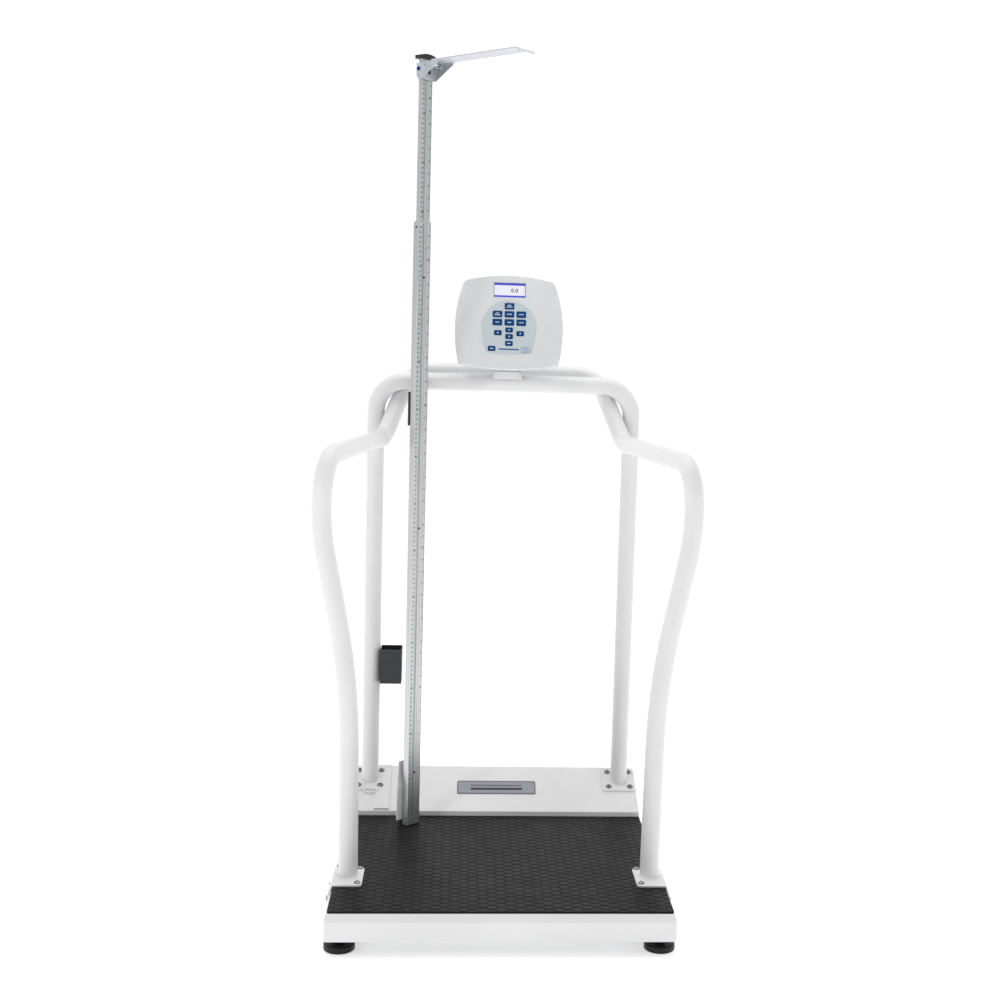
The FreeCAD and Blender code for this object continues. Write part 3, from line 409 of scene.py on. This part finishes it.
BADGE_EDGE = printed_ink("badge_border", (0.10, 0.14, 0.20), 0.35)
PALE_KEY = moulded_plastic("pale_key", (0.50, 0.57, 0.64), 0.36, 2200.0)


CREASE = math.radians(28)


def dress_nodes():
    """Materials by slot, and crisp edges where flat faces meet."""
    slot_of = {part["node"]: part["material_slot"] for part in frame["record"]["subparts"]}
    for name, node in frame["nodes"].items():
        node.data.materials.clear()
        node.data.materials.append(PALE_KEY if name == "key_power" else MATERIALS[slot_of[name]])
        split = node.modifiers.new("crisp_edges", "EDGE_SPLIT")
        split.split_angle = CREASE
        node.modifiers.new("flat_normals", "WEIGHTED_NORMAL")


# ---------------------------------------------------------------- platform details

CELL_COLUMN = 17.8 * MM
CELL_PITCH = 20.55 * MM
GROOVE = 2.2 * MM
GROOVE_DEPTH = 0.9 * MM
SHOULDER_DROP = 0.12 * MM
MAT_CORNER = 6 * MM
MAT_BORDER = 1.0 * MM
CORNER_STEPS = 6


def clipped(points, low, high):
    """A polygon cut to a rectangle, one side after another."""
    for axis, limit, sign in ((0, low.x, 1), (0, high.x, -1), (1, low.y, 1), (1, high.y, -1)):
        kept = []
        for k, here in enumerate(points):
            before = points[k - 1]
            inside = sign * (here[axis] - limit) >= 0
            was_inside = sign * (before[axis] - limit) >= 0
            if inside != was_inside:
                share = (limit - before[axis]) / (here[axis] - before[axis])
                kept.append(tuple(before[i] + share * (here[i] - before[i]) for i in range(2)))
            if inside:
                kept.append(here)
        points = kept
    return points


def hexagon(x, y, radius):
    return [(x + radius * math.cos(k * math.pi / 3), y + radius * math.sin(k * math.pi / 3))
            for k in range(6)]


def tread_cell(verts, faces, x, y, top, low, high):
    """One raised hexagon of the tread, with a sloping shoulder, cut at the mat's edge."""
    corner = CELL_PITCH / math.sqrt(3)
    foot = (corner - GROOVE * 0.4, top - GROOVE_DEPTH)
    shoulder = (corner - GROOVE * 0.8, top - SHOULDER_DROP)
    crown = (corner - GROOVE * 1.15, top)
    rim = []
    for radius, z in (foot, shoulder, crown):
        outline = clipped(hexagon(x, y, radius), low, high)
        if len(outline) < 3 or (rim and len(outline) != len(rim)):
            break
        ring = list(range(len(verts), len(verts) + len(outline)))
        verts += [(u, v, z) for u, v in outline]
        for k in range(len(rim)):
            faces.append((rim[k - 1], rim[k], ring[k], ring[k - 1]))
        rim = ring
    if rim:
        faces.append(tuple(rim))


def build_mat():
    """The mat: a sheet as deep as the grooves' floor, and hexagons up to its full height."""
    low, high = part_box("rubber_mat")
    floor = high.z - GROOVE_DEPTH
    outline = [(high.x, high.y), (low.x, high.y)]
    for centre_x, start in ((low.x + MAT_CORNER, math.pi), (high.x - MAT_CORNER, 1.5 * math.pi)):
        for k in range(CORNER_STEPS + 1):
            angle = start + math.pi / 2 * k / CORNER_STEPS
            x = centre_x + MAT_CORNER * math.cos(angle)
            y = low.y + MAT_CORNER + MAT_CORNER * math.sin(angle)
            outline.append((x, y))
    verts = [(u, v, low.z) for u, v in outline] + [(u, v, floor) for u, v in outline]
    n = len(outline)
    faces = [tuple(reversed(range(n))), tuple(range(n, 2 * n))]
    faces += [(k, (k + 1) % n, n + (k + 1) % n, n + k) for k in range(n)]
    inset = Vector((MAT_BORDER, MAT_BORDER, 0))
    columns = int((high.x - low.x) / CELL_COLUMN) + 2
    rows = int((high.y - low.y) / CELL_PITCH) + 2
    for i in range(columns):
        x = (i - columns / 2) * CELL_COLUMN
        for k in range(rows):
            y = low.y + (k + 0.5 * (i % 2)) * CELL_PITCH
            tread_cell(verts, faces, x, y, high.z, low + inset, high - inset)
    mat = make_piece("mat_tread", verts, faces, "scale", MATERIALS["mat_rubber"])
    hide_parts("rubber_mat")


BADGE_W = 178 * MM
BADGE_H = 42 * MM
BADGE_CORNER = 4 * MM
BADGE_PEN = 2.4 * MM
BADGE_BAR_HALF = 58 * MM
BADGE_BARS = ((-9 * MM, -1.5 * MM), (5 * MM, 7.5 * MM))


def flat(u, v, lift):
    return (u, v, lift)


def build_badge():
    """A dark border and two plain bars on the deck's badge."""
    matrix = deck_frame("badge_plate", 0.6 * MM)
    edge = Plates(0.25 * MM)
    frame_ring(edge, BADGE_W, BADGE_H, BADGE_CORNER, BADGE_PEN, flat)
    edge.piece("badge_border", "scale", "badge_metal", BADGE_EDGE, matrix)
    bars = Plates(0.1 * MM)
    for v0, v1 in BADGE_BARS:
        bars.bar(-BADGE_BAR_HALF, BADGE_BAR_HALF, v0, v1, flat)
    bars.piece("badge_bars", "scale", "badge_metal", INK_DARK, matrix)


# ---------------------------------------------------------------- height rod scales

STRIP_BACK = 0.6 * MM
MARK_START = 2.6 * MM
MARK_MARGIN = 2.8 * MM
MARK_PEN = 0.36 * MM
SMALL_NUMERAL = 3.0 * MM
LARGE_NUMERAL = 4.4 * MM
# side of the rod's middle, length of the unit, marks in one unit, units between large numerals
CENTIMETRES = (-1, 10 * MM, 10, 10)
INCHES = (1, 25.4 * MM, 8, 12)


def scale_strip(name, body, unit, width, back, z0, z1, first):
    """Graduations on one strip of the rod's face, upwards from z0, where the first label stands."""
    def plane(u, v, lift):
        return (u, back - lift, v)

    side, step, per_step, large_every = unit
    marks = Plates(PRINT_LIFT)
    outer = width / 2 - MARK_MARGIN
    strip = outer - MARK_START
    count = int((z1 - z0) / (step / per_step))
    for k in range(count + 1):
        z = z0 + k * step / per_step
        whole = k % per_step == 0
        half = k % (per_step // 2) == 0
        length = strip * (0.55 if whole else 0.38 if half else 0.24)
        u0, u1 = sorted((side * MARK_START, side * (MARK_START + length)))
        marks.bar(u0, u1, z - MARK_PEN / 2, z + MARK_PEN / 2, plane)
        if whole:
            label = first + k // per_step
            size = SMALL_NUMERAL if label % large_every else LARGE_NUMERAL
            room = len(str(label)) * size * 0.75
            u = min(MARK_START + strip * 0.62, outer - room) if side > 0 else -outer
            number(marks, label, u, z + MARK_PEN, size, plane)
    marks.piece(name, body, "rod_alloy", INK_DARK, rod_frame())


def build_scales():
    """Centimetres on the left strip and inches on the right, on both sections."""
    low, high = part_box("rod_outer")
    z0, z1 = low.z + 21 * MM, high.z - 6 * MM
    scale_strip("scale_cm_outer", "scale", CENTIMETRES, ROD_W, STRIP_BACK, z0, z1, 2)
    scale_strip("scale_inch_outer", "scale", INCHES, ROD_W, STRIP_BACK, z0, z1, 1)
    low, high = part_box("rod_inner")
    z0, z1 = low.z + 30 * MM, high.z - 8 * MM
    back = INNER_BACK + STRIP_BACK
    scale_strip("scale_cm_inner", "measuring_rod", CENTIMETRES, INNER_W, back, z0, z1, 72)
    scale_strip("scale_inch_inner", "measuring_rod", INCHES, INNER_W, back, z0, z1, 28)


# ---------------------------------------------------------------- display details

def head_plane(depth):
    """Plates that stand out of the face, towards the user."""
    def plane(u, v, lift):
        return (u, depth - lift, v)
    return plane


def in_head(node):
    """A node's middle in the display's frame."""
    return head_frame().inverted() @ mid(node)


SCREEN_W = 68 * MM
SCREEN_H = 33 * MM
SCREEN_DEPTH = 3.3 * MM
SCREEN_PRINT_DEPTH = 3.0 * MM
BAND_SHARE = 0.14
ZERO_SHARE = 0.27
ZEROS_AT = (0.085, 0.225)
POINT_AT = 0.155


def build_screen():
    """A lit panel with a band along its top and foot, and the reading 0.0."""
    matrix = head_frame()
    centre = in_head("lcd_window")
    u0, v0 = centre.x - SCREEN_W / 2, centre.z - SCREEN_H / 2
    panel = Plates(0.2 * MM)
    panel.bar(u0, u0 + SCREEN_W, v0, v0 + SCREEN_H, head_plane(SCREEN_DEPTH))
    panel.piece("screen_panel", "display_head", "lcd", SCREEN_WHITE, matrix)
    over = head_plane(SCREEN_PRINT_DEPTH)
    band = SCREEN_H * BAND_SHARE
    bars = Plates(0.1 * MM)
    bars.bar(u0, u0 + SCREEN_W, v0, v0 + band, over)
    bars.bar(u0, u0 + SCREEN_W, v0 + SCREEN_H - band, v0 + SCREEN_H, over)
    bars.piece("screen_bars", "display_head", "lcd", SCREEN_BLUE, matrix)
    digits = Plates(0.1 * MM)
    size = SCREEN_H * ZERO_SHARE
    wide = size * 0.66
    pen = size * 0.2
    for u in ZEROS_AT:
        oval(digits, (centre.x + SCREEN_W * u, centre.z), wide, size, pen, over)
    dot = centre.x + SCREEN_W * POINT_AT
    foot = centre.z - size / 2
    digits.bar(dot - pen * 0.55, dot + pen * 0.55, foot, foot + pen * 1.1, over)
    digits.piece("screen_digits", "display_head", "lcd", INK_DARK, matrix)


ARROW_SIZE = 2.0 * MM
BAR_HALF_W = 6.5 * MM
BAR_HALF_H = 0.7 * MM
LINE_GAP = 2.0 * MM
KEY_FACE = -0.9 * MM
OVERLAY_FACE = -0.3 * MM
POWER_RING = 8.6 * MM
POWER_PEN = 1.0 * MM
POWER_BAR = (0.45 * MM, 2.4 * MM)


def arrow(direction, size):
    """A stubby arrow as two outlines, pointing along one of the four directions."""
    head = [(-size, 0), (size, 0), (0, size)]
    half, foot, neck = size * 0.4, -size * 0.8, 0.02 * size
    stem = [(-half, foot), (half, foot), (half, neck), (-half, neck)]
    turn = {"up": 0, "left": math.pi / 2, "down": math.pi, "right": -math.pi / 2}[direction]
    c, s = math.cos(turn), math.sin(turn)
    return [[(u * c - v * s, u * s + v * c) for u, v in points] for points in (head, stem)]


def word_bar(share, v=0.0):
    """A plain bar in place of a word, as a share of the longest one."""
    half = BAR_HALF_W * share
    low, high = v - BAR_HALF_H, v + BAR_HALF_H
    return [(-half, low), (half, low), (half, high), (-half, high)]


def key_marks(name):
    """Outlines printed on a key, about its centre."""
    word = name.removeprefix("key_")
    if word in ("up", "down", "left", "right"):
        return arrow(word, ARROW_SIZE)
    if word in ("units", "weigh"):
        return [word_bar(0.62, LINE_GAP), word_bar(1.0, -LINE_GAP)]
    if word in ("enter", "clear", "recall", "index"):
        return [word_bar(0.62)]
    return [word_bar(0.8)]


def power_sign(marks, centre, plane):
    """A ring with a stroke to its top, inside a rounded frame."""
    oval(marks, (centre.x, centre.z), POWER_RING, POWER_RING, POWER_PEN, plane)
    half, reach = POWER_BAR
    marks.bar(centre.x - half, centre.x + half, centre.z, centre.z + reach, plane)
    frame_ring(marks, 18.2 * MM, 13.2 * MM, 4.5 * MM, 0.6 * MM, plane, (centre.x, centre.z))


def build_key_marks():
    matrix = head_frame()
    plane = head_plane(KEY_FACE)
    for name in frame["nodes"]:
        if not name.startswith("key_"):
            continue
        centre = in_head(name)
        marks = Plates(0.08 * MM)
        ink = INK_WHITE
        if name == "key_power":
            power_sign(marks, centre, plane)
            ink = INK_BLUE
        else:
            for outline in key_marks(name):
                marks.add([(centre.x + u, centre.z + v) for u, v in outline], plane)
        marks.piece(name + "_print", name + "_cap", "key_navy", ink, matrix)


def build_overlay_bar():
    """Plain printed rule between the two lower keys."""
    centre = in_head("key_clear")
    rule = Plates(0.05 * MM)
    low, high = centre.z - 2.6 * MM, centre.z + 0.6 * MM
    rule.bar(-22 * MM, 22 * MM, low, high, head_plane(OVERLAY_FACE))
    rule.piece("overlay_rule", "display_head", "overlay_film", INK_BLUE, head_frame())


# ---------------------------------------------------------------- welds

TUBE_R = 19.05 * MM
LEG_X = 298 * MM
LEG_BEHIND_BRACKET = 8.5 * MM
FLANGE_HALF_T = 2 * MM
WELD_R = 1.9 * MM
WELD_AROUND = 96
WELD_ACROSS = 6
WELD_RIPPLES = 30


def weld_bead(name, centre, normal):
    """A rippled fillet of weld round an upright tube where it meets a plate."""
    normal = normal.normalized()
    across_slope = Vector((1, 0, 0))
    down_slope = normal.cross(across_slope).normalized()
    # an upright tube's cut on a sloping plate is longer up the slope
    stretch = 1 / normal.z
    verts, faces = [], []
    for i in range(WELD_AROUND):
        angle = 2 * math.pi * i / WELD_AROUND
        out = across_slope * math.cos(angle) + down_slope * (math.sin(angle) * stretch)
        radius = WELD_R * (1 + 0.12 * math.sin(angle * WELD_RIPPLES))
        for k in range(WELD_ACROSS):
            turn = 2 * math.pi * k / WELD_ACROSS
            ring_point = centre + out * TUBE_R + out.normalized() * (radius * math.cos(turn))
            verts.append(ring_point + normal * (radius * math.sin(turn)))
    for i in range(WELD_AROUND):
        here = i * WELD_ACROSS
        after = (i + 1) % WELD_AROUND * WELD_ACROSS
        for k in range(WELD_ACROSS):
            beside = (k + 1) % WELD_ACROSS
            faces.append((here + k, here + beside, after + beside, after + k))
    make_piece(name, verts, faces, "scale", MATERIALS["powder_coat"], smooth=True)


def build_welds():
    """Beads at the feet of both rear posts and both front legs."""
    slope = Vector((0, -math.sin(DECK_SLOPE), math.cos(DECK_SLOPE)))
    for side in ("left", "right"):
        weld_bead("weld_rear_" + side, mid("rear_flange_" + side) + slope * FLANGE_HALF_T, slope)
    foot_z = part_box("front_bracket_left")[1].z
    for side, sign in (("left", -1), ("right", 1)):
        y = mid("front_bracket_" + side).y + LEG_BEHIND_BRACKET
        weld_bead("weld_front_" + side, Vector((sign * LEG_X, y, foot_z)), Vector((0, 0, 1)))


# ---------------------------------------------------------------- stage, light and camera

STAGE_HALF = 14.0
STAGE_NEAR = -12.0
STAGE_RISE = 5.0
STAGE_CURVE = 3.0
STAGE_TOP = 12.0
STAGE_STEPS = 16


def build_stage():
    """A pale floor that curves up into a backdrop."""
    profile = [(STAGE_NEAR, 0.0), (STAGE_RISE, 0.0)]
    for k in range(1, STAGE_STEPS + 1):
        angle = math.pi / 2 * k / STAGE_STEPS
        y = STAGE_RISE + STAGE_CURVE * math.sin(angle)
        profile.append((y, STAGE_CURVE * (1 - math.cos(angle))))
    profile.append((STAGE_RISE + STAGE_CURVE, STAGE_TOP))
    verts, faces = [], []
    for y, z in profile:
        verts += [(-STAGE_HALF, y, z), (STAGE_HALF, y, z)]
    for k in range(len(profile) - 1):
        faces.append((2 * k, 2 * k + 1, 2 * k + 3, 2 * k + 2))
    mesh = bpy.data.meshes.new("stage_floor")
    mesh.from_pydata(verts, [], faces)
    mesh.shade_smooth()
    floor = bpy.data.objects.new("stage_floor", mesh)
    bpy.context.scene.collection.objects.link(floor)
    s = Shader("stage_paper", (0.92, 0.92, 0.925), 0.9)
    s.tint(s.noise(2.0), (0.915, 0.915, 0.92), (0.925, 0.925, 0.93))
    s.bsdf.inputs["Emission Color"].default_value = (1, 1, 1, 1)
    s.bsdf.inputs["Emission Strength"].default_value = 0.45
    mesh.materials.append(s.material)


def area_light(name, place, target, width, height, power):
    data = bpy.data.lights.new(name, "AREA")
    data.shape = "RECTANGLE"
    data.size = width
    data.size_y = height
    data.energy = power
    lamp = bpy.data.objects.new(name, data)
    lamp.location = place
    lamp.rotation_mode = "QUATERNION"
    lamp.rotation_quaternion = (Vector(target) - Vector(place)).to_track_quat("-Z", "Y")
    bpy.context.scene.collection.objects.link(lamp)


FRONT_GLOW = 0.34
BACK_GLOW = 0.95


def build_light():
    """White surroundings, brighter behind the scale, with two side strips and a soft top light."""
    world = bpy.data.worlds.new("studio")
    bpy.context.scene.world = world
    world.use_nodes = True
    tree = world.node_tree
    background = tree.nodes["Background"]
    background.inputs["Color"].default_value = (1.0, 1.0, 1.0, 1)
    direction = tree.nodes.new("ShaderNodeTexCoord").outputs["Generated"]
    split = tree.nodes.new("ShaderNodeSeparateXYZ")
    fade = tree.nodes.new("ShaderNodeMapRange")
    fade.inputs["From Min"].default_value = -0.7
    fade.inputs["From Max"].default_value = 0.4
    fade.inputs["To Min"].default_value = FRONT_GLOW
    fade.inputs["To Max"].default_value = BACK_GLOW
    tree.links.new(direction, split.inputs["Vector"])
    tree.links.new(split.outputs["Y"], fade.inputs["Value"])
    tree.links.new(fade.outputs["Result"], background.inputs["Strength"])
    area_light("strip_left", (-1.9, -1.7, 1.3), (0, 0, 0.9), 0.45, 2.4, 14.0)
    area_light("strip_right", (2.2, -1.6, 1.3), (0, 0, 0.9), 0.45, 2.4, 11.0)
    area_light("top_soft", (0, 0.2, 3.4), (0, 0.1, 0.8), 2.4, 1.8, 34.0)


CAMERA_AT = Vector((-0.0986, -2.9566, 1.1367))
YAW = math.radians(4.45)
PITCH = math.radians(6.11)
ROLL = math.radians(1.77)


def build_camera():
    """The viewpoint: about chest height, 3 m in front, a little to the left."""
    data = bpy.data.cameras.new("camera")
    data.sensor_width = 36.0
    data.lens = 52.09
    data.shift_x = -0.0702
    camera = bpy.data.objects.new("camera", data)
    level = Vector((math.sin(YAW), math.cos(YAW), 0))
    forward = level * math.cos(PITCH) - Vector((0, 0, math.sin(PITCH)))
    right = Vector((math.cos(YAW), -math.sin(YAW), 0))
    up = right.cross(forward)
    right_rolled = right * math.cos(ROLL) + up * math.sin(ROLL)
    up_rolled = up * math.cos(ROLL) - right * math.sin(ROLL)
    camera.matrix_world = place_frame(CAMERA_AT, right_rolled, up_rolled, -forward)
    bpy.context.scene.collection.objects.link(camera)
    bpy.context.scene.camera = camera


dress_nodes()
build_mat()
build_badge()
build_scales()
build_screen()
build_key_marks()
build_overlay_bar()
build_welds()
build_stage()
build_light()
build_camera()
bpy.context.scene.view_settings.view_transform = "Standard"
